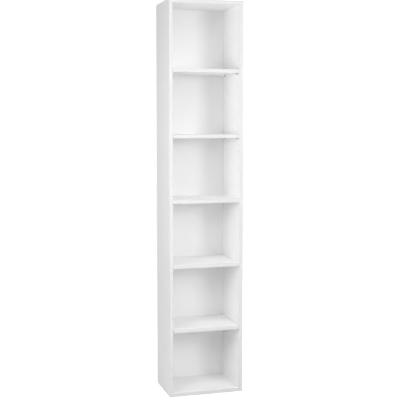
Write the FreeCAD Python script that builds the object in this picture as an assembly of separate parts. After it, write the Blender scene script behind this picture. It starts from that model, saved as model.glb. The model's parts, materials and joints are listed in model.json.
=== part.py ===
import FreeCAD, Part
import os

# Tall narrow bookcase, millimetres. +Z is up, the open front faces -Y and the origin is on the
# floor in the middle of the footprint.

# Outside of the carcass
WIDTH = 390.0
DEPTH = 280.0
HEIGHT = 2020.0

# Boards
BOARD = 18.0             # sides, top, bottom and shelves
BACK = 3.0               # hardboard back
BACK_INSET = 2.0         # the back stands in from the outside edges of the carcass
BAND = 1.0               # plastic band glued on each front edge
BAND_RADIUS = 0.7        # rounding of the band's two long front edges

# Shelves, counted from the bottom. The pitch is from one underside to the next.
SHELF_PITCH = 331.0
SHELVES = 5
FIXED_SHELF = 3
SHELF_END_GAP = 1.0      # at each end and behind an adjustable shelf

# Rows of holes for the shelf pins, on both sides
SYSTEM = 32.0            # from hole to hole, and from cam bolt to dowel
COLUMN_INSET = 37.0      # front column to the front edge, rear column to the rear edge
ROWS_EACH_WAY = 2        # spare holes above and below the pin's own
PIN_HOLE_R = 2.5
PIN_HOLE_DEPTH = 11.0

# Shelf pin
PIN_STUD_R = 2.45
PIN_STUD_LENGTH = 10.0
PIN_COLLAR_R = 4.5
PIN_COLLAR = 1.0
PIN_PEG_R = 4.0
PIN_PEG_LENGTH = 8.0
PIN_FLAT = 2.5           # from the pin's axis up to the flat that the shelf rests on
PIN_TIP_CHAMFER = 0.8

# Cam lock, drilled into one face of a fixed board
CAM_INSET = 24.0         # cam's centre to the board's end
CAM_BORE_R = 7.5
CAM_BORE_DEPTH = 13.0
CAM_R = 7.4
CAM_RECESS = 0.6         # cam's face below the board's face
CAM_POCKET_R = 5.2       # hollow that holds the bolt's head
CAM_POCKET_HALF = 3.7
CAM_SLOT_HALF = 2.4      # slot for the bolt's neck
CAM_SLOT_ANGLE = 120.0
CAM_DRIVE_LENGTH = 7.0
CAM_DRIVE_WIDTH = 1.8
CAM_DRIVE_DEPTH = 3.0

# Cam bolt, screwed into the side
BOLT_CORE_R = 1.9
BOLT_THREAD_R = 2.45
BOLT_THREAD_LENGTH = 10.0
BOLT_RINGS = 5
BOLT_RING = 0.9
BOLT_COLLAR_R = 3.7
BOLT_COLLAR = 2.0
BOLT_SHANK_R = 2.9
BOLT_SHANK_END = 8.0     # shank's end to the cam's centre
BOLT_NECK_R = 2.0
BOLT_HEAD_R = 3.2
BOLT_HEAD_FROM = 1.0     # head's two faces to the cam's centre
BOLT_HEAD_TO = 3.8
BOLT_CHANNEL_R = 4.0     # hole in the board's end

# Wooden dowel
DOWEL_R = 3.95
DOWEL_HOLE_R = 4.0
DOWEL_IN_SIDE = 11.5
DOWEL_IN_BOARD = 23.0
DOWEL_END_SPACE = 0.5
DOWEL_CHAMFER = 1.0

# Cover cap on a cam lock
CAP_R = 8.75
CAP = 1.0
CAP_CHAMFER = 0.5
CAP_PLUG_LENGTH = 5.0
CAP_PLUG_WIDTH = 1.4
CAP_PLUG_DEPTH = 2.0

# Nail-on floor glide
GLIDE_R = 8.0
GLIDE = 3.0
GLIDE_CHAMFER = 0.6
GLIDE_INSET = 30.0       # glide's centre to the front or rear of the carcass
GLIDE_NAIL_R = 0.95
GLIDE_NAIL_HOLE_R = 1.0
GLIDE_NAIL_LENGTH = 12.0
GLIDE_NAIL_HEAD_R = 2.2
GLIDE_NAIL_HEAD = 0.8
GLIDE_NAIL_SEAT_R = 2.3
GLIDE_NAIL_SEAT = 1.2

# Panel pins that hold the back
NAIL_R = 0.8
NAIL_HOLE_R = 0.85
NAIL_LENGTH = 20.0
NAIL_HEAD_R = 1.8
NAIL_HEAD = 0.6
NAIL_SEAT_R = 1.9
NAIL_END_MARGIN = 40.0
NAILS_PER_SIDE = 14
NAILS_PER_BOARD = 3
NAIL_BOARD_SPACING = 110.0

# Wall bracket on the top board
BRACKET_WIDTH = 50.0
BRACKET_FOOT = 30.0
BRACKET_LEG = 25.0
BRACKET_STEEL = 2.0
BRACKET_BEND_R = 3.5     # outside of the bend
BRACKET_HOLE_SPACING = 30.0
BRACKET_SCREW_Y = 14.0   # foot's front edge to its screws
BRACKET_SCREW_HOLE_R = 2.1
WALL_HOLE_R = 2.75
WALL_HOLE_Z = 15.0       # above the top board
SCREW_R = 1.7
SCREW_PILOT_R = 1.75
SCREW_LENGTH = 13.0
SCREW_HEAD_R = 3.5
SCREW_HEAD = 2.2
SCREW_HEAD_DOME = 1.2
SCREW_DRIVE_LENGTH = 4.0
SCREW_DRIVE_WIDTH = 0.9
SCREW_DRIVE_DEPTH = 1.2

# Worked out from the above
FRONT = -DEPTH / 2
REAR = DEPTH / 2
BOARD_FRONT = FRONT + BAND
BOARD_REAR = REAR - BACK
INNER_X = WIDTH / 2 - BOARD
FRONT_COLUMN = FRONT + COLUMN_INSET
REAR_COLUMN = BOARD_REAR - COLUMN_INSET
COLUMNS = (FRONT_COLUMN, REAR_COLUMN)
DOWEL_ROWS = (FRONT_COLUMN + SYSTEM, REAR_COLUMN - SYSTEM)
SIDES = (-1, 1)
UP = FreeCAD.Vector(0, 0, 1)

BOTTOM_Z = GLIDE
TOP_Z = HEIGHT - BOARD
FIXED_Z = GLIDE + FIXED_SHELF * SHELF_PITCH
ADJUSTABLE_Z = [GLIDE + n * SHELF_PITCH for n in range(1, SHELVES + 1) if n != FIXED_SHELF]

# Each fixed board: its underside and the way that its cam locks' faces look
FIXED_BOARDS = {
    "bottom_panel": (BOTTOM_Z, -1),
    "fixed_shelf": (FIXED_Z, -1),
    "top_panel": (TOP_Z, 1),
}


def block(x, y, z):
    """A box from three (low, high) pairs."""
    low = FreeCAD.Vector(x[0], y[0], z[0])
    return Part.makeBox(x[1] - x[0], y[1] - y[0], z[1] - z[0], low)


def centred(value, size):
    return (value - size / 2, value + size / 2)


def rod_x(radius, x_from, x_to, y, z):
    """A cylinder along X between two places, given in either order."""
    low = min(x_from, x_to)
    return Part.makeCylinder(radius, abs(x_to - x_from), FreeCAD.Vector(low, y, z), FreeCAD.Vector(1, 0, 0))


def rod_y(radius, y_from, y_to, x, z):
    return Part.makeCylinder(radius, y_to - y_from, FreeCAD.Vector(x, y_from, z), FreeCAD.Vector(0, 1, 0))


def rod_z(radius, z_from, z_to, x, y):
    return Part.makeCylinder(radius, z_to - z_from, FreeCAD.Vector(x, y, z_from), UP)


def fused(shapes):
    return shapes[0].multiFuse(shapes[1:]).removeSplitter()


def bevelled(shape, size, chosen):
    """Chamfers the circular edges whose centre and radius the test picks."""
    edges = [e for e in shape.Edges if isinstance(e.Curve, Part.Circle) and chosen(e.Curve)]
    return shape.makeChamfer(size, edges)


def front_band(x, z, along):
    """The plastic strip on a front edge, with its two long front edges rounded."""
    strip = block(x, (FRONT, BOARD_FRONT), z)
    long_edges = []
    for edge in strip.Edges:
        start, end = (v.Point for v in edge.Vertexes)
        on_front = abs(start.y - FRONT) < 1e-6 and abs(end.y - FRONT) < 1e-6
        if on_front and abs((end - start).dot(along)) > BOARD + 1:
            long_edges.append(edge)
    return strip.makeFillet(BAND_RADIUS, long_edges)


def spare_rows(underside):
    """Heights of one group of shelf pin holes."""
    axis = underside - PIN_FLAT
    return [axis + SYSTEM * n for n in range(-ROWS_EACH_WAY, ROWS_EACH_WAY + 1)]


def side_panel(side):
    inner = side * INNER_X
    outer = side * WIDTH / 2
    panel = block(sorted((inner, outer)), (BOARD_FRONT, BOARD_REAR), (GLIDE, HEIGHT))
    holes = []
    for column in COLUMNS:
        for underside in ADJUSTABLE_Z:
            for height in spare_rows(underside):
                holes.append(rod_x(PIN_HOLE_R, inner, inner + side * PIN_HOLE_DEPTH, column, height))
    for underside, _ in FIXED_BOARDS.values():
        middle = underside + BOARD / 2
        for column in COLUMNS:
            holes.append(rod_x(PIN_HOLE_R, inner, inner + side * PIN_HOLE_DEPTH, column, middle))
        for row in DOWEL_ROWS:
            depth = DOWEL_IN_SIDE + DOWEL_END_SPACE
            holes.append(rod_x(DOWEL_HOLE_R, inner, inner + side * depth, row, middle))
    for x, y in glide_places():
        if x * side > 0:
            top = GLIDE + GLIDE_NAIL_LENGTH
            holes.append(rod_z(GLIDE_NAIL_HOLE_R, GLIDE, top, x, y))
    holes += [nail_hole(x, z) for x, z in side_nail_places() if x * side > 0]
    return panel.cut(holes)


def cam_places():
    return [(side * (INNER_X - CAM_INSET), column, side) for side in SIDES for column in COLUMNS]


def fixed_board(underside, cam_face):
    """A board between the sides, drilled for its cam locks, cam bolts, dowels and nails."""
    board = block((-INNER_X, INNER_X), (BOARD_FRONT, BOARD_REAR), (underside, underside + BOARD))
    middle = underside + BOARD / 2
    face = middle + cam_face * BOARD / 2
    holes = []
    for x, y, side in cam_places():
        bore = sorted((face, face - cam_face * CAM_BORE_DEPTH))
        holes.append(rod_z(CAM_BORE_R, bore[0], bore[1], x, y))
        holes.append(rod_x(BOLT_CHANNEL_R, x, side * INNER_X, y, middle))
    for side in SIDES:
        end = side * INNER_X
        depth = DOWEL_IN_BOARD + DOWEL_END_SPACE
        for row in DOWEL_ROWS:
            holes.append(rod_x(DOWEL_HOLE_R, end, end - side * depth, row, middle))
    holes += [nail_hole(x, z) for x, z in board_nail_places() if abs(z - middle) < 1]
    return board.cut(holes)


def top_panel():
    board = fixed_board(*FIXED_BOARDS["top_panel"])
    pilots = [rod_z(SCREW_PILOT_R, HEIGHT - SCREW_LENGTH, HEIGHT, x, y) for x, y in bracket_screw_places()]
    return board.cut(pilots)


def adjustable_shelf(underside):
    half = INNER_X - SHELF_END_GAP
    return block((-half, half), (BOARD_FRONT, BOARD_REAR - SHELF_END_GAP), (underside, underside + BOARD))


def cam_lock(x, y, side, underside, cam_face):
    """A die-cast cam: a drum with a hollow and slot for the bolt's head, and a cross in its face."""
    middle = underside + BOARD / 2
    face = middle + cam_face * (BOARD / 2 - CAM_RECESS)
    inner_end = middle + cam_face * (BOARD / 2 - CAM_BORE_DEPTH)
    drum = rod_z(CAM_R, min(face, inner_end), max(face, inner_end), x, y)
    pocket = rod_z(CAM_POCKET_R, middle - CAM_POCKET_HALF, middle + CAM_POCKET_HALF, x, y)
    slot_base = FreeCAD.Vector(x, y, middle - CAM_SLOT_HALF)
    slot = Part.makeCylinder(CAM_BORE_R, 2 * CAM_SLOT_HALF, slot_base, UP, CAM_SLOT_ANGLE)
    towards_bolt = 0 if side > 0 else 180
    slot.rotate(FreeCAD.Vector(x, y, 0), UP, towards_bolt - CAM_SLOT_ANGLE / 2)
    drive = sorted((face, face - cam_face * CAM_DRIVE_DEPTH))
    long_x = block(centred(x, CAM_DRIVE_LENGTH), centred(y, CAM_DRIVE_WIDTH), drive)
    long_y = block(centred(x, CAM_DRIVE_WIDTH), centred(y, CAM_DRIVE_LENGTH), drive)
    return drum.cut([pocket, slot, long_x, long_y])


def cam_bolt(y, side, middle):
    """A bolt with a ringed thread in the side, a shank in the board and a head in the cam."""
    joint = side * INNER_X
    cam = joint - side * CAM_INSET

    def stretch(radius, start, end):
        return rod_x(radius, start, end, y, middle)

    parts = [
        stretch(BOLT_CORE_R, joint - side * BOLT_COLLAR, joint + side * BOLT_THREAD_LENGTH),
        stretch(BOLT_COLLAR_R, joint, joint - side * BOLT_COLLAR),
        stretch(BOLT_SHANK_R, joint - side * BOLT_COLLAR, cam + side * BOLT_SHANK_END),
        stretch(BOLT_NECK_R, cam + side * BOLT_SHANK_END, cam + side * BOLT_HEAD_TO),
        stretch(BOLT_HEAD_R, cam + side * BOLT_HEAD_TO, cam + side * BOLT_HEAD_FROM),
    ]
    ring_pitch = BOLT_THREAD_LENGTH / BOLT_RINGS
    for n in range(BOLT_RINGS):
        start = joint + side * ring_pitch * (n + 0.25)
        parts.append(stretch(BOLT_THREAD_R, start, start + side * BOLT_RING))
    return fused(parts)


def dowel(y, side, middle):
    joint = side * INNER_X
    ends = (joint + side * DOWEL_IN_SIDE, joint - side * DOWEL_IN_BOARD)
    return bevelled(rod_x(DOWEL_R, ends[0], ends[1], y, middle), DOWEL_CHAMFER, lambda circle: True)


def cam_cap(x, y):
    """A thin cap under the fixed shelf, with a tongue that grips the cam's cross."""
    disc = rod_z(CAP_R, FIXED_Z - CAP, FIXED_Z, x, y)
    disc = bevelled(disc, CAP_CHAMFER, lambda circle: circle.Center.z < FIXED_Z - CAP / 2)
    plug_top = FIXED_Z + CAM_RECESS + CAP_PLUG_DEPTH
    plug = block(centred(x, CAP_PLUG_LENGTH), centred(y, CAP_PLUG_WIDTH), (FIXED_Z, plug_top))
    return fused([disc, plug])


def shelf_pin(y, side, underside):
    """A stud in the side and a peg with a flat top that the shelf rests on."""
    axis = underside - PIN_FLAT
    wall = side * INNER_X
    collar_end = wall - side * PIN_COLLAR
    tip = collar_end - side * PIN_PEG_LENGTH
    peg = rod_x(PIN_PEG_R, collar_end, tip, y, axis)
    peg = bevelled(peg, PIN_TIP_CHAMFER, lambda circle: abs(circle.Center.x - tip) < 1e-6)
    head = fused([rod_x(PIN_COLLAR_R, wall, collar_end, y, axis), peg])
    above = block(sorted((wall, tip)), centred(y, 4 * PIN_COLLAR_R), (underside, underside + BOARD))
    stud = rod_x(PIN_STUD_R, wall, wall + side * PIN_STUD_LENGTH, y, axis)
    return fused([head.cut(above), stud])


def glide_places():
    x = WIDTH / 2 - BOARD / 2
    y = DEPTH / 2 - GLIDE_INSET
    return [(sx * x, sy * y) for sx in SIDES for sy in (-1, 1)]


def floor_glide(x, y):
    disc = rod_z(GLIDE_R, 0, GLIDE, x, y)
    disc = bevelled(disc, GLIDE_CHAMFER, lambda circle: circle.Center.z < GLIDE / 2)
    seat = rod_z(GLIDE_NAIL_SEAT_R, 0, GLIDE_NAIL_SEAT, x, y)
    return disc.cut([seat, rod_z(GLIDE_NAIL_HOLE_R, 0, GLIDE, x, y)])


def glide_nail(x, y):
    head_base = GLIDE_NAIL_SEAT - GLIDE_NAIL_HEAD
    head = rod_z(GLIDE_NAIL_HEAD_R, head_base, GLIDE_NAIL_SEAT, x, y)
    tip = GLIDE + GLIDE_NAIL_LENGTH - GLIDE_NAIL_HEAD
    return fused([head, rod_z(GLIDE_NAIL_R, GLIDE_NAIL_SEAT, tip, x, y)])


def side_nail_places():
    """Panel pins up the rear edges of the sides."""
    step = (HEIGHT - 2 * NAIL_END_MARGIN) / (NAILS_PER_SIDE - 1)
    x = WIDTH / 2 - BOARD / 2
    return [(side * x, NAIL_END_MARGIN + step * n) for side in SIDES for n in range(NAILS_PER_SIDE)]


def board_nail_places():
    """Panel pins along the rear edges of the bottom, fixed shelf and top."""
    places = []
    for underside, _ in FIXED_BOARDS.values():
        for n in range(NAILS_PER_BOARD):
            x = NAIL_BOARD_SPACING * (n - (NAILS_PER_BOARD - 1) / 2)
            places.append((x, underside + BOARD / 2))
    return places


def nail_places():
    return side_nail_places() + board_nail_places()


def nail_hole(x, z):
    return rod_y(NAIL_HOLE_R, REAR - NAIL_LENGTH, REAR, x, z)


def nail_seat(x, z):
    return rod_y(NAIL_SEAT_R, REAR - NAIL_HEAD, REAR, x, z)


def back_nail(x, z):
    shank = rod_y(NAIL_R, REAR - NAIL_LENGTH, REAR - NAIL_HEAD, x, z)
    return fused([shank, rod_y(NAIL_HEAD_R, REAR - NAIL_HEAD, REAR, x, z)])


def back_panel():
    half = WIDTH / 2 - BACK_INSET
    sheet = block((-half, half), (BOARD_REAR, REAR), (GLIDE + BACK_INSET, HEIGHT - BACK_INSET))
    return sheet.cut([cut(x, z) for x, z in nail_places() for cut in (nail_hole, nail_seat)])


def bracket_screw_places():
    y = REAR - BRACKET_FOOT + BRACKET_SCREW_Y
    return [(side * BRACKET_HOLE_SPACING / 2, y) for side in SIDES]


def wall_bracket():
    """A steel angle: its foot lies on the top board and its leg stands against the wall."""
    toe = REAR - BRACKET_FOOT
    top = HEIGHT + BRACKET_LEG
    bend_y = REAR - BRACKET_BEND_R
    bend_z = HEIGHT + BRACKET_BEND_R
    diagonal = 0.5 ** 0.5
    inner_r = BRACKET_BEND_R - BRACKET_STEEL

    def point(y, z):
        return FreeCAD.Vector(-BRACKET_WIDTH / 2, y, z)

    def bend(radius):
        start = point(bend_y, bend_z - radius)
        middle = point(bend_y + radius * diagonal, bend_z - radius * diagonal)
        end = point(bend_y + radius, bend_z)
        return Part.Arc(start, middle, end).toShape()

    outline = Part.Wire([
        Part.makeLine(point(toe, HEIGHT), point(bend_y, HEIGHT)),
        bend(BRACKET_BEND_R),
        Part.makeLine(point(REAR, bend_z), point(REAR, top)),
        Part.makeLine(point(REAR, top), point(REAR - BRACKET_STEEL, top)),
        Part.makeLine(point(REAR - BRACKET_STEEL, top), point(REAR - BRACKET_STEEL, bend_z)),
        bend(inner_r),
        Part.makeLine(point(bend_y, HEIGHT + BRACKET_STEEL), point(toe, HEIGHT + BRACKET_STEEL)),
        Part.makeLine(point(toe, HEIGHT + BRACKET_STEEL), point(toe, HEIGHT)),
    ])
    angle = Part.Face(outline).extrude(FreeCAD.Vector(BRACKET_WIDTH, 0, 0))
    holes = [rod_z(BRACKET_SCREW_HOLE_R, HEIGHT, HEIGHT + BRACKET_STEEL, x, y)
             for x, y in bracket_screw_places()]
    for side in SIDES:
        x = side * BRACKET_HOLE_SPACING / 2
        holes.append(rod_y(WALL_HOLE_R, REAR - BRACKET_STEEL, REAR, x, HEIGHT + WALL_HOLE_Z))
    return angle.cut(holes)


def bracket_screw(x, y):
    """A pan-head wood screw with a cross in its head."""
    seat = HEIGHT + BRACKET_STEEL
    crown = seat + SCREW_HEAD
    shank = rod_z(SCREW_R, HEIGHT - SCREW_LENGTH + 0.5, seat, x, y)
    head = rod_z(SCREW_HEAD_R, seat, crown, x, y)
    head = bevelled(head, SCREW_HEAD_DOME, lambda circle: circle.Center.z > crown - 1e-6)
    drive = (crown - SCREW_DRIVE_DEPTH, crown)
    cross = [block(centred(x, SCREW_DRIVE_LENGTH), centred(y, SCREW_DRIVE_WIDTH), drive),
             block(centred(x, SCREW_DRIVE_WIDTH), centred(y, SCREW_DRIVE_LENGTH), drive)]
    return fused([shank, head]).cut(cross)


def save(name, solids):
    """Writes one node. A list of solids is a group of like fasteners."""
    shape = Part.makeCompound(solids) if len(solids) > 1 else solids[0]
    shape.exportStep("parts/" + name + ".step")
    print("%-32s %3d solid(s) %12.1f mm3 valid %s" % (name, len(shape.Solids), shape.Volume, shape.isValid()))


def carcass():
    for name, side in (("left_side_panel", -1), ("right_side_panel", 1)):
        save(name, [side_panel(side)])
        span = sorted((side * INNER_X, side * WIDTH / 2))
        save(name + "_front_band", [front_band(span, (GLIDE, HEIGHT), UP)])
    save("bottom_panel", [fixed_board(*FIXED_BOARDS["bottom_panel"])])
    save("fixed_shelf", [fixed_board(*FIXED_BOARDS["fixed_shelf"])])
    save("top_panel", [top_panel()])
    save("back_panel", [back_panel()])
    save("back_panel_nails", [back_nail(x, z) for x, z in nail_places()])
    save("floor_glides", [floor_glide(x, y) for x, y in glide_places()])
    save("floor_glide_nails", [glide_nail(x, y) for x, y in glide_places()])
    save("wall_bracket", [wall_bracket()])
    save("wall_bracket_screws", [bracket_screw(x, y) for x, y in bracket_screw_places()])


def joinery():
    """Front band, cam locks, cam bolts and dowels of each fixed board."""
    along = FreeCAD.Vector(1, 0, 0)
    for name, (underside, cam_face) in FIXED_BOARDS.items():
        middle = underside + BOARD / 2
        band = front_band((-INNER_X, INNER_X), (underside, underside + BOARD), along)
        save(name + "_front_band", [band])
        save(name + "_cam_locks", [cam_lock(x, y, side, underside, cam_face) for x, y, side in cam_places()])
        save(name + "_cam_bolts", [cam_bolt(y, side, middle) for side in SIDES for y in COLUMNS])
        save(name + "_dowels", [dowel(y, side, middle) for side in SIDES for y in DOWEL_ROWS])
    save("fixed_shelf_cam_caps", [cam_cap(x, y) for x, y, _ in cam_places()])


def shelves():
    """The loose shelves, each on four pins."""
    along = FreeCAD.Vector(1, 0, 0)
    half = INNER_X - SHELF_END_GAP
    for number, underside in enumerate(ADJUSTABLE_Z, start=1):
        name = "adjustable_shelf_%d" % number
        save(name, [adjustable_shelf(underside)])
        save(name + "_front_band", [front_band((-half, half), (underside, underside + BOARD), along)])
        save(name + "_pins", [shelf_pin(y, side, underside) for side in SIDES for y in COLUMNS])


os.makedirs("parts", exist_ok=True)
carcass()
joinery()
shelves()
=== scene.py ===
import json
import math
import bmesh
import bpy
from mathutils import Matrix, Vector


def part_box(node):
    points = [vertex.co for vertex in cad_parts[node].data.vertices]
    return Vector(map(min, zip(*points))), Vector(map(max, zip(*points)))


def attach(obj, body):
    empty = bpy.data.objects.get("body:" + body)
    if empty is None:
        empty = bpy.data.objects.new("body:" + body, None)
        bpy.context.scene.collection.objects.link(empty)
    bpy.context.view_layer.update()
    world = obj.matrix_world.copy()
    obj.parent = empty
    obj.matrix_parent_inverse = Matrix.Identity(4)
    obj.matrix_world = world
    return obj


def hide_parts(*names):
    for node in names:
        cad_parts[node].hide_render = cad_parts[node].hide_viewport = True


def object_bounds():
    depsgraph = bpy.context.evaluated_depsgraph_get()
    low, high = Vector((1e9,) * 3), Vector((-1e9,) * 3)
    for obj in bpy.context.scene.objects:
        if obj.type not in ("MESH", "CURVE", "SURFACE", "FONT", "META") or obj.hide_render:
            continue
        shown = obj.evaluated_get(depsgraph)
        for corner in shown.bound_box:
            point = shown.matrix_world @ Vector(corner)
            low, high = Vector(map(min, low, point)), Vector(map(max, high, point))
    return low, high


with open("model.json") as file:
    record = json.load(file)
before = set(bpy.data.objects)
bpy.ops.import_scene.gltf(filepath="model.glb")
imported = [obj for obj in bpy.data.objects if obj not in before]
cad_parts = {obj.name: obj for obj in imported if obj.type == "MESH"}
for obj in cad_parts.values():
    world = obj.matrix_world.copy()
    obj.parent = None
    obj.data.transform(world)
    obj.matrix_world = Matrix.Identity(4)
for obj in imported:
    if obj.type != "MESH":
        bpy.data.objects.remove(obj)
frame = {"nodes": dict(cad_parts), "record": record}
cad_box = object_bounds()
nodes = frame["nodes"]
slot_of = {entry["node"]: entry["material_slot"] for entry in frame["record"]["subparts"]}
body_of = {node: body for body, group in frame["record"]["behaviour"]["bodies"].items() for node in group}

X, Y, Z = 0, 1, 2
PURE_WHITE = (1.0, 1.0, 1.0, 1.0)

# ---------------------------------------------------------------- camera

CAMERA_PLACE = (-1.2685, -4.4070, 1.4037)
CAMERA_AZIMUTH = 16.12      # degrees that it looks to the right of straight ahead
CAMERA_TILT = 4.37          # degrees that it looks down
CAMERA_LENS = 78.97         # mm
CAMERA_SENSOR = 36.0        # mm
CAMERA_SHIFT = -0.025


def add_camera():
    data = bpy.data.cameras.new("camera")
    data.lens = CAMERA_LENS
    data.sensor_width = CAMERA_SENSOR
    data.shift_y = CAMERA_SHIFT
    camera = bpy.data.objects.new("camera", data)
    camera.location = CAMERA_PLACE
    camera.rotation_euler = (math.radians(90 - CAMERA_TILT), 0, math.radians(-CAMERA_AZIMUTH))
    bpy.context.scene.collection.objects.link(camera)
    bpy.context.scene.camera = camera


# ---------------------------------------------------------------- node graphs

class Graph:
    """A Principled material and short calls that add nodes to it."""

    def __init__(self, name, metallic=0.0):
        self.material = bpy.data.materials.new(name)
        self.material.use_nodes = True
        self.tree = self.material.node_tree
        self.shader = self.tree.nodes["Principled BSDF"]
        self.shader.inputs["Metallic"].default_value = metallic
        self.place = self.node("ShaderNodeTexCoord").outputs["Object"]
        self.axes = self.node("ShaderNodeSeparateXYZ", self.place).outputs

    def node(self, kind, *inputs):
        """Adds a node and feeds its first inputs, each a socket or a plain value."""
        added = self.tree.nodes.new(kind)
        for socket, value in zip(added.inputs, inputs):
            self.feed(socket, value)
        return added

    def feed(self, socket, value):
        if isinstance(value, bpy.types.NodeSocket):
            self.tree.links.new(value, socket)
        else:
            socket.default_value = value

    def math(self, operation, *values):
        added = self.node("ShaderNodeMath", *values)
        added.operation = operation
        return added.outputs[0]

    def add(self, a, b):
        return self.math("ADD", a, b)

    def times(self, a, b):
        return self.math("MULTIPLY", a, b)

    def gap(self, a, b):
        """The difference between two values, whichever is larger."""
        return self.math("ABSOLUTE", self.math("SUBTRACT", a, b))

    def stretched(self, scale):
        """The place on the piece, scaled apart along its three axes, for grain and brush marks."""
        added = self.node("ShaderNodeVectorMath", self.place, scale)
        added.operation = "MULTIPLY"
        return added.outputs[0]

    def noise(self, scale, detail=2.0, roughness=0.5, where=None):
        added = self.node("ShaderNodeTexNoise", where or self.place)
        added.inputs["Scale"].default_value = scale
        added.inputs["Detail"].default_value = detail
        added.inputs["Roughness"].default_value = roughness
        return added.outputs["Fac"]

    def wave(self, axis, turn):
        """A sine along one axis, with turn radians to the metre."""
        return self.math("SINE", self.times(self.axes[axis], turn))

    def spread(self, fac, low, high, to_low=0.0, to_high=1.0):
        """Maps low..high to to_low..to_high, smoothly and clamped."""
        added = self.node("ShaderNodeMapRange", fac, low, high, to_low, to_high)
        added.interpolation_type = "SMOOTHSTEP"
        return added.outputs["Result"]

    def blend(self, fac, a, b):
        """Colour a where fac is 0 and colour b where it is 1."""
        added = self.tree.nodes.new("ShaderNodeMix")
        added.data_type = "RGBA"
        self.feed(added.inputs["Factor"], fac)
        self.feed(added.inputs["A"], a if isinstance(a, bpy.types.NodeSocket) else (*a, 1.0))
        self.feed(added.inputs["B"], b if isinstance(b, bpy.types.NodeSocket) else (*b, 1.0))
        return added.outputs["Result"]

    def near(self, axis, value, reach):
        """1 where the place is within reach of a plane across one axis, and 0 away from it."""
        return self.math("LESS_THAN", self.gap(self.axes[axis], value), reach)

    def either(self, masks):
        total = masks[0]
        for mask in masks[1:]:
            total = self.math("MAXIMUM", total, mask)
        return total

    def edge_gap(self, low, high):
        """Distance from a place on a box's surface to the box's nearest edge."""
        gaps = []
        for axis in (X, Y, Z):
            ends = [self.gap(self.axes[axis], corner[axis]) for corner in (low, high)]
            gaps.append(self.math("MINIMUM", *ends))
        lesser = self.math("MINIMUM", gaps[X], gaps[Y])
        greater = self.math("MAXIMUM", gaps[X], gaps[Y])
        return self.math("MAXIMUM", lesser, self.math("MINIMUM", greater, gaps[Z]))

    def finish(self, colour, roughness, height, relief):
        """Feeds the shader its colour, its roughness, and a bump of relief metres from height."""
        bump = self.tree.nodes.new("ShaderNodeBump")
        bump.inputs["Strength"].default_value = 1.0
        bump.inputs["Distance"].default_value = relief
        self.feed(bump.inputs["Height"], height)
        self.feed(self.shader.inputs["Base Color"], colour)
        self.feed(self.shader.inputs["Roughness"], roughness)
        self.feed(self.shader.inputs["Normal"], bump.outputs["Normal"])
        return self.material


# ---------------------------------------------------------------- white boards, bands and back

FOIL = (0.930, 0.930, 0.930)
FOIL_SHADE = (0.912, 0.913, 0.915)
BACK_FOIL = (0.860, 0.860, 0.860)
BACK_SHADE = (0.843, 0.844, 0.847)
# Painted shade: the band's two whites are set far darker than the foil's, so that the band's front faces,
# which face the key light, come out no brighter than the boards
SHADE_PAINTED_BAND_WHITE = (0.650, 0.650, 0.650)
SHADE_PAINTED_BAND_TONE = (0.628, 0.629, 0.632)
GRIME = (0.52, 0.50, 0.46)
CHIP_LIGHT = (0.60, 0.46, 0.30)
CHIP_DARK = (0.30, 0.20, 0.12)
HARDBOARD = (0.33, 0.215, 0.125)
HARDBOARD_LIGHT = (0.45, 0.315, 0.195)

SKIN = 0.0004               # how deep the white foil is taken to reach
FOIL_PEEL = 0.00004         # relief of the foil's orange peel
CHIP_RELIEF = 6.0           # how much deeper bare chips are than the foil's peel
RAW_ROUGHNESS = 0.9
RUB_REACH = 0.012           # how far handling marks reach in from an edge
RUB_STRENGTH = 0.16
NICK_REACH = 0.0009         # how far a chipped edge shows
NICK_LEVEL = 0.72           # the higher, the fewer nicks along an edge

GLUE_REACH = 0.00012        # half the glue line between a band and its board
GLUE_STRENGTH = 0.55
BAND_RUB_REACH = 0.0016
BAND_RUB_STRENGTH = 0.22
BAND_RIPPLE = 2600.0        # radians to the metre of the milling ripple
RIPPLE_SHARE = 0.25
BAND_RELIEF = 0.00003

SCREEN_WEAVE = 3100.0       # radians to the metre of the press screen's mesh
WEAVE_STRENGTH = 0.35
FIBRE_SHARE = 0.8           # of the hardboard's colour; the rest is broad blotches
FRONT_PEEL_SHARE = 0.3
HARDBOARD_ROUGHNESS = 0.82
HARDBOARD_RELIEF = 0.00008

CLOUD_SHARE = 0.75          # of the foil's shade; the rest is fine specks
SEED_STEP = 0.13            # keeps the clouds of one board apart from the next one's
BACK_SEED = 0.7

LONG_CHIPS = (1.0, 0.45, 1.0)
TALL_SCUFFS = (1.0, 1.0, 0.3)
TALL_FIBRES = (1.0, 1.0, 0.5)


def chipboard(graph):
    """Colour and relief of the pressed chips inside a board."""
    chips = graph.node("ShaderNodeTexVoronoi", graph.stretched(LONG_CHIPS))
    chips.inputs["Scale"].default_value = 620.0
    fleck = graph.node("ShaderNodeSeparateColor", chips.outputs["Color"]).outputs[0]
    shade = graph.times(fleck, graph.noise(scale=900.0, detail=3.0))
    return graph.blend(graph.spread(shade, low=0.05, high=0.6), CHIP_LIGHT, CHIP_DARK), fleck


def white_foil(graph, light, shade, seed):
    """Colour of melamine foil: hardly any clouding, and a fine print of lighter specks."""
    clouds = graph.spread(graph.noise(scale=2.6 + seed, detail=3.0), low=0.35, high=0.7)
    specks = graph.spread(graph.noise(scale=1500.0, detail=1.0), low=0.4, high=0.7)
    tone = graph.add(graph.times(clouds, CLOUD_SHARE), graph.times(specks, 1 - CLOUD_SHARE))
    return graph.blend(tone, light, shade)


def rubbed(graph, colour, edge, reach, patches, strength):
    """Grime that handling leaves along the edges, in patches."""
    rub = graph.times(graph.spread(edge, 0.0, reach, to_low=1.0, to_high=0.0), patches)
    return graph.blend(graph.times(rub, strength), colour, GRIME)


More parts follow.
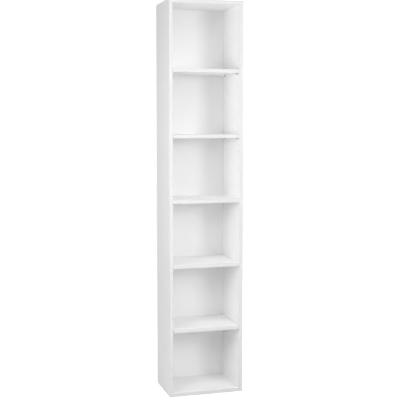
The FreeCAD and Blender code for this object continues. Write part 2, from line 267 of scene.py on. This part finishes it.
def board_material(node, thickness_axis, seed):
    """A white board: foil on its two faces, chipboard in its holes and on its cut edges."""
    low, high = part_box(node)
    graph = Graph("foil_" + node)
    faces = [graph.near(thickness_axis, low[thickness_axis], SKIN),
             graph.near(thickness_axis, high[thickness_axis], SKIN)]
    if thickness_axis == X:
        faces.append(graph.near(Z, high.z, SKIN))
    foil = graph.either(faces)

    edge = graph.edge_gap(low, high)
    patches = graph.spread(graph.noise(scale=70.0, detail=4.0, roughness=0.65), low=0.56, high=0.74)
    white = white_foil(graph, FOIL, FOIL_SHADE, seed)
    white = rubbed(graph, white, edge, RUB_REACH, patches, RUB_STRENGTH)
    nicks = graph.times(graph.math("LESS_THAN", edge, NICK_REACH),
                        graph.math("GREATER_THAN", graph.noise(scale=240.0), NICK_LEVEL))
    white = graph.blend(nicks, white, CHIP_LIGHT)
    core, fleck = chipboard(graph)

    scuffs = graph.noise(scale=26.0, detail=4.0, roughness=0.7, where=graph.stretched(TALL_SCUFFS))
    gloss = graph.spread(scuffs, low=0.3, high=0.75, to_low=0.46, to_high=0.58)
    rough = graph.math("MAXIMUM", gloss, graph.math("SUBTRACT", RAW_ROUGHNESS, foil))
    bare = graph.math("SUBTRACT", CHIP_RELIEF, graph.times(foil, CHIP_RELIEF))
    height = graph.add(graph.times(graph.noise(scale=420.0), foil), graph.times(fleck, bare))
    return graph.finish(graph.blend(foil, core, white), rough, height, FOIL_PEEL)


def band_material(node, seed):
    """Plastic edge band: milled cross ripple, a glue line where it meets the board, rubbed corners, and a
    white painted darker than the boards' foil as shade.
    """
    low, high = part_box(node)
    graph = Graph("band_" + node)
    long_axis = Z if high.z - low.z > high.x - low.x else X
    # Painted shade: the band's white is laid down much darker than the boards' foil
    white = white_foil(graph, SHADE_PAINTED_BAND_WHITE, SHADE_PAINTED_BAND_TONE, seed)
    glue = graph.near(Y, high.y, GLUE_REACH)
    white = graph.blend(graph.times(glue, GLUE_STRENGTH), white, GRIME)
    patches = graph.spread(graph.noise(scale=120.0, detail=4.0, roughness=0.65), low=0.52, high=0.72)
    white = rubbed(graph, white, graph.edge_gap(low, high), BAND_RUB_REACH, patches, BAND_RUB_STRENGTH)

    ripple = graph.times(graph.wave(long_axis, BAND_RIPPLE), RIPPLE_SHARE)
    height = graph.add(ripple, graph.noise(scale=160.0, detail=3.0))
    scuffs = graph.noise(scale=38.0, detail=4.0, roughness=0.6)
    gloss = graph.spread(scuffs, low=0.3, high=0.7, to_low=0.40, to_high=0.54)
    return graph.finish(white, gloss, height, BAND_RELIEF)


def back_material(node):
    """Hardboard: white foil in front, brown with the press screen's weave behind and on the edges."""
    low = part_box(node)[0]
    graph = Graph("hardboard_" + node)
    foil = graph.near(Y, low.y, SKIN)
    raw = graph.math("SUBTRACT", 1.0, foil)
    white = white_foil(graph, BACK_FOIL, BACK_SHADE, BACK_SEED)

    fibres = graph.noise(scale=260.0, detail=6.0, roughness=0.7, where=graph.stretched(TALL_FIBRES))
    blotches = graph.noise(scale=7.0, detail=4.0, roughness=0.6)
    tone = graph.add(graph.times(fibres, FIBRE_SHARE), graph.times(blotches, 1 - FIBRE_SHARE))
    brown = graph.blend(graph.spread(tone, low=0.34, high=0.66), HARDBOARD, HARDBOARD_LIGHT)
    weave = graph.times(graph.wave(X, SCREEN_WEAVE), graph.wave(Z, SCREEN_WEAVE))
    mesh = graph.times(graph.spread(weave, low=0.2, high=1.0), WEAVE_STRENGTH)
    brown = graph.blend(mesh, brown, HARDBOARD)

    behind = graph.times(graph.add(weave, fibres), raw)
    height = graph.add(behind, graph.times(graph.noise(scale=360.0), FRONT_PEEL_SHARE))
    scuffs = graph.noise(scale=20.0, detail=4.0, roughness=0.7)
    gloss = graph.spread(scuffs, low=0.3, high=0.75, to_low=0.42, to_high=0.55)
    rough = graph.math("MAXIMUM", gloss, graph.times(raw, HARDBOARD_ROUGHNESS))
    return graph.finish(graph.blend(foil, brown, white), rough, height, HARDBOARD_RELIEF)


# ---------------------------------------------------------------- fittings

BRIGHT_STEEL = (0.66, 0.66, 0.67)
DULL_STEEL = (0.50, 0.49, 0.47)
BRIGHT_ZINC = (0.52, 0.52, 0.54)
DULL_ZINC = (0.38, 0.38, 0.40)
BRIGHT_NICKEL = (0.60, 0.58, 0.54)
DULL_NICKEL = (0.46, 0.43, 0.39)
WHITE_PLASTIC = (0.82, 0.82, 0.81)
WHITE_PLASTIC_SHADE = (0.77, 0.77, 0.76)
CLEAR_PLASTIC = (0.74, 0.73, 0.69)
CLEAR_PLASTIC_SHADE = (0.66, 0.65, 0.60)
BEECH_LIGHT = (0.70, 0.50, 0.32)
BEECH_DARK = (0.56, 0.37, 0.21)
BEECH_RAY = (0.33, 0.19, 0.10)

FINE_RELIEF = 0.00003
BEECH_RELIEF = 0.00005
RAY_STRENGTH = 0.5
POLISHED = 0.08             # how much smoother metal is where it is worn bright
TARNISHED = 0.12            # how much rougher it is between its marks
SCUFFED = 0.2               # how much rougher plastic is where it is scuffed

EVEN = (1.0, 1.0, 1.0)
ALONG_X = (0.1, 1.0, 1.0)
ALONG_Z = (1.0, 1.0, 0.1)
BEECH_GRAIN = (0.06, 1.0, 1.0)
BEECH_RAYS = (0.25, 1.0, 1.0)


def metal_material(name, bright, dull, roughness, grain):
    """Plated or cast metal: stained in patches, with fine drawn or cast marks."""
    graph = Graph(name, metallic=1.0)
    stain = graph.spread(graph.noise(scale=190.0, detail=5.0, roughness=0.65), low=0.42, high=0.70)
    marks = graph.noise(scale=900.0, detail=3.0, roughness=0.6, where=graph.stretched(grain))
    rough = graph.spread(marks, low=0.3, high=0.7, to_low=roughness - POLISHED, to_high=roughness + TARNISHED)
    return graph.finish(graph.blend(stain, bright, dull), rough, marks, FINE_RELIEF)


def plastic_material(name, light, dark, roughness):
    """Moulded plastic: faint flow clouding, an eroded-mould grain and scuffs."""
    graph = Graph(name)
    flow = graph.spread(graph.noise(scale=90.0, detail=3.0), low=0.35, high=0.7)
    scuffs = graph.noise(scale=320.0, detail=4.0, roughness=0.7)
    rough = graph.spread(scuffs, low=0.5, high=0.75, to_low=roughness, to_high=roughness + SCUFFED)
    return graph.finish(graph.blend(flow, light, dark), rough, graph.noise(scale=2400.0), FINE_RELIEF)


def beech_material():
    """Beech turned along X: pale, with short dark rays."""
    graph = Graph("beech")
    grain = graph.noise(scale=600.0, detail=5.0, roughness=0.6, where=graph.stretched(BEECH_GRAIN))
    rays = graph.noise(scale=1400.0, where=graph.stretched(BEECH_RAYS))
    colour = graph.blend(graph.spread(grain, low=0.3, high=0.7), BEECH_LIGHT, BEECH_DARK)
    ray = graph.times(graph.spread(rays, low=0.58, high=0.72), RAY_STRENGTH)
    rough = graph.spread(grain, low=0.3, high=0.7, to_low=0.52, to_high=0.70)
    return graph.finish(graph.blend(ray, colour, BEECH_RAY), rough, grain, BEECH_RELIEF)


SHARED = {
    "zinc": metal_material("zinc", BRIGHT_ZINC, DULL_ZINC, roughness=0.42, grain=EVEN),
    "plated_steel": metal_material("plated_steel", BRIGHT_STEEL, DULL_STEEL, roughness=0.34, grain=ALONG_Z),
    "nickel": metal_material("nickel", BRIGHT_NICKEL, DULL_NICKEL, roughness=0.24, grain=ALONG_X),
    "white_plastic": plastic_material("white_plastic", WHITE_PLASTIC, WHITE_PLASTIC_SHADE, roughness=0.45),
    "clear_plastic": plastic_material("clear_plastic", CLEAR_PLASTIC, CLEAR_PLASTIC_SHADE, roughness=0.40),
    "beech": beech_material(),
}


def node_material(node, number):
    """A node's own material, or the one that its slot's nodes share."""
    seed = SEED_STEP * number
    slot = slot_of[node]
    if slot == "white_melamine":
        return board_material(node, X if "side_panel" in node else Z, seed)
    if slot == "white_edge_band":
        return band_material(node, seed)
    if slot == "white_hardboard":
        return back_material(node)
    return SHARED[slot]


def dress(piece, material):
    piece.data.materials.clear()
    piece.data.materials.append(material)


# ---------------------------------------------------------------- eased edges

WELD = 0.000001                 # points closer than this are one point
FLAT = math.radians(0.3)        # faces that turn less than this are one flat
SHARP = math.radians(40)        # edges that turn more than this are rounded
EASE_STEPS = 3

# How far the sharp edges of the nodes in each material slot are rounded, in metres
EASE = {
    "white_melamine": 0.0003,
    "white_hardboard": 0.0002,
    "zinc": 0.0003,
    "plated_steel": 0.0002,
    "nickel": 0.0001,
    "white_plastic": 0.0002,
    "clear_plastic": 0.0003,
}
DRILLED = ("white_melamine", "white_hardboard")     # their holes keep sharp rims
LEFT_AS_CAD = ("_front_band", "_cam_bolts", "_dowels", "_nails")


def glued_seam(node):
    """The Y of the plane where a board's front band is glued on, or None."""
    band = node + "_front_band"
    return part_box(band)[1].y if band in nodes else None


def flush(edge, axis, value):
    """Whether an edge lies in a plane across one axis."""
    return all(abs(vert.co[axis] - value) < WELD for vert in edge.verts)


def on_outline(edge, low, high):
    """Whether an edge runs along an edge of the box from low to high."""
    return sum(flush(edge, axis, corner[axis]) for axis in (X, Y, Z) for corner in (low, high)) > 1


def eased_mesh(node):
    """The node's mesh, welded, with its flats joined and weights on the sharp edges to round."""
    low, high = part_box(node)
    seam = glued_seam(node)
    drilled = slot_of[node] in DRILLED
    shell = bmesh.new()
    shell.from_mesh(nodes[node].data)
    bmesh.ops.remove_doubles(shell, verts=shell.verts, dist=WELD)
    bmesh.ops.dissolve_limit(shell, angle_limit=FLAT, verts=shell.verts, edges=shell.edges)
    weight = shell.edges.layers.float.new("bevel_weight_edge")
    for face in shell.faces:
        face.smooth = True
    for edge in shell.edges:
        sharp = edge.calc_face_angle(0.0) > SHARP
        glued = seam is not None and flush(edge, Y, seam)
        eased = sharp and not glued and (on_outline(edge, low, high) or not drilled)
        edge[weight] = 1.0 if eased else 0.0
        edge.smooth = eased or not sharp
    mesh = bpy.data.meshes.new("eased_" + node)
    shell.to_mesh(mesh)
    shell.free()
    return mesh


def ease(node):
    """A piece with rounded edges that stands for a CAD node, on the same body."""
    piece = bpy.data.objects.new("eased_" + node, eased_mesh(node))
    bpy.context.scene.collection.objects.link(piece)
    rounding = piece.modifiers.new("rounding", "BEVEL")
    rounding.limit_method = "WEIGHT"
    rounding.width = EASE[slot_of[node]]
    rounding.segments = EASE_STEPS
    flats = piece.modifiers.new("flats", "WEIGHTED_NORMAL")
    flats.keep_sharp = True
    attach(piece, body_of[node])
    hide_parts(node)
    return piece


def finish_nodes():
    """Gives every CAD node, or the eased piece that stands for it, its material."""
    for number, node in enumerate(sorted(nodes)):
        shown = nodes[node] if node.endswith(LEFT_AS_CAD) else ease(node)
        dress(shown, node_material(node, number))


# ---------------------------------------------------------------- studio

WORLD_STRENGTH = 0.37
BACKDROP_GLOW = 1.1
FLOOR_HALF = 15.0
FLOOR_WHITE = (0.78, 0.78, 0.78, 1.0)
FLOOR_ROUGHNESS = 0.9
FLOOR_SPECULAR = 0.1
FLOOR_GLOW = 0.71           # lifts the floor to the backdrop's white for the camera alone

# Azimuth in degrees from straight in front, distance, height and side in metres
SOFTBOXES = {
    "key": dict(azimuth=26, distance=3.7, height=1.7, side=1.0, watts=43),
    "near_fill": dict(azimuth=-45, distance=1.9, height=1.4, side=0.8, watts=10.7),
    "side_fill": dict(azimuth=-60, distance=1.9, height=1.5, side=0.8, watts=8.7),
    "low_fill": dict(azimuth=-4, distance=1.9, height=0.3, side=0.6, watts=1.8),
    "high": dict(azimuth=4, distance=4.0, height=3.4, side=1.5, watts=26),
    "overhead": dict(azimuth=6.6, distance=2.6, height=4.2, side=1.5, watts=23.5),
    "top": dict(azimuth=180, distance=0.5, height=4.0, side=1.0, watts=11),
    "behind": dict(azimuth=165, distance=3.2, height=3.2, side=1.4, watts=21),
}


def background(tree, strength):
    added = tree.nodes.new("ShaderNodeBackground")
    added.inputs["Color"].default_value = PURE_WHITE
    added.inputs["Strength"].default_value = strength
    return added.outputs[0]


def add_world():
    """Even white light from all round, in front of a plain white background."""
    world = bpy.data.worlds.new("studio")
    world.use_nodes = True
    tree = world.node_tree
    path = tree.nodes.new("ShaderNodeLightPath")
    mix = tree.nodes.new("ShaderNodeMixShader")
    tree.links.new(path.outputs["Is Camera Ray"], mix.inputs[0])
    tree.links.new(background(tree, WORLD_STRENGTH), mix.inputs[1])
    tree.links.new(background(tree, BACKDROP_GLOW), mix.inputs[2])
    tree.links.new(mix.outputs[0], tree.nodes["World Output"].inputs["Surface"])
    bpy.context.scene.world = world


def add_softbox(name, azimuth, distance, height, side, watts):
    """A square softbox at an azimuth round the bookcase, turned towards its middle."""
    data = bpy.data.lights.new(name, "AREA")
    data.size = side
    data.energy = watts
    light = bpy.data.objects.new(name, data)
    light.visible_camera = False
    angle = math.radians(azimuth)
    light.location = (distance * math.sin(angle), -distance * math.cos(angle), height)
    direction = Vector((0, 0, cad_box[1].z / 2)) - light.location
    light.rotation_euler = direction.to_track_quat("-Z", "Y").to_euler()
    bpy.context.scene.collection.objects.link(light)


def floor_material():
    """Pale floor. The camera sees it lifted to white, so that only contact shadows show on it."""
    material = bpy.data.materials.new("floor")
    material.use_nodes = True
    tree = material.node_tree
    shader = tree.nodes["Principled BSDF"]
    shader.inputs["Base Color"].default_value = FLOOR_WHITE
    shader.inputs["Roughness"].default_value = FLOOR_ROUGHNESS
    shader.inputs["Specular IOR Level"].default_value = FLOOR_SPECULAR
    shader.inputs["Emission Color"].default_value = PURE_WHITE
    path = tree.nodes.new("ShaderNodeLightPath")
    glow = tree.nodes.new("ShaderNodeMath")
    glow.operation = "MULTIPLY"
    glow.inputs[1].default_value = FLOOR_GLOW
    tree.links.new(path.outputs["Is Camera Ray"], glow.inputs[0])
    tree.links.new(glow.outputs[0], shader.inputs["Emission Strength"])
    return material


def add_floor():
    mesh = bpy.data.meshes.new("floor")
    h = FLOOR_HALF
    mesh.from_pydata([(-h, -h, 0), (h, -h, 0), (h, h, 0), (-h, h, 0)], [], [(0, 1, 2, 3)])
    floor = bpy.data.objects.new("floor", mesh)
    bpy.context.scene.collection.objects.link(floor)
    mesh.materials.append(floor_material())


def build_studio():
    add_camera()
    add_world()
    for name, setting in SOFTBOXES.items():
        add_softbox(name, **setting)
    add_floor()
    bpy.context.scene.view_settings.view_transform = "Standard"


finish_nodes()
build_studio()
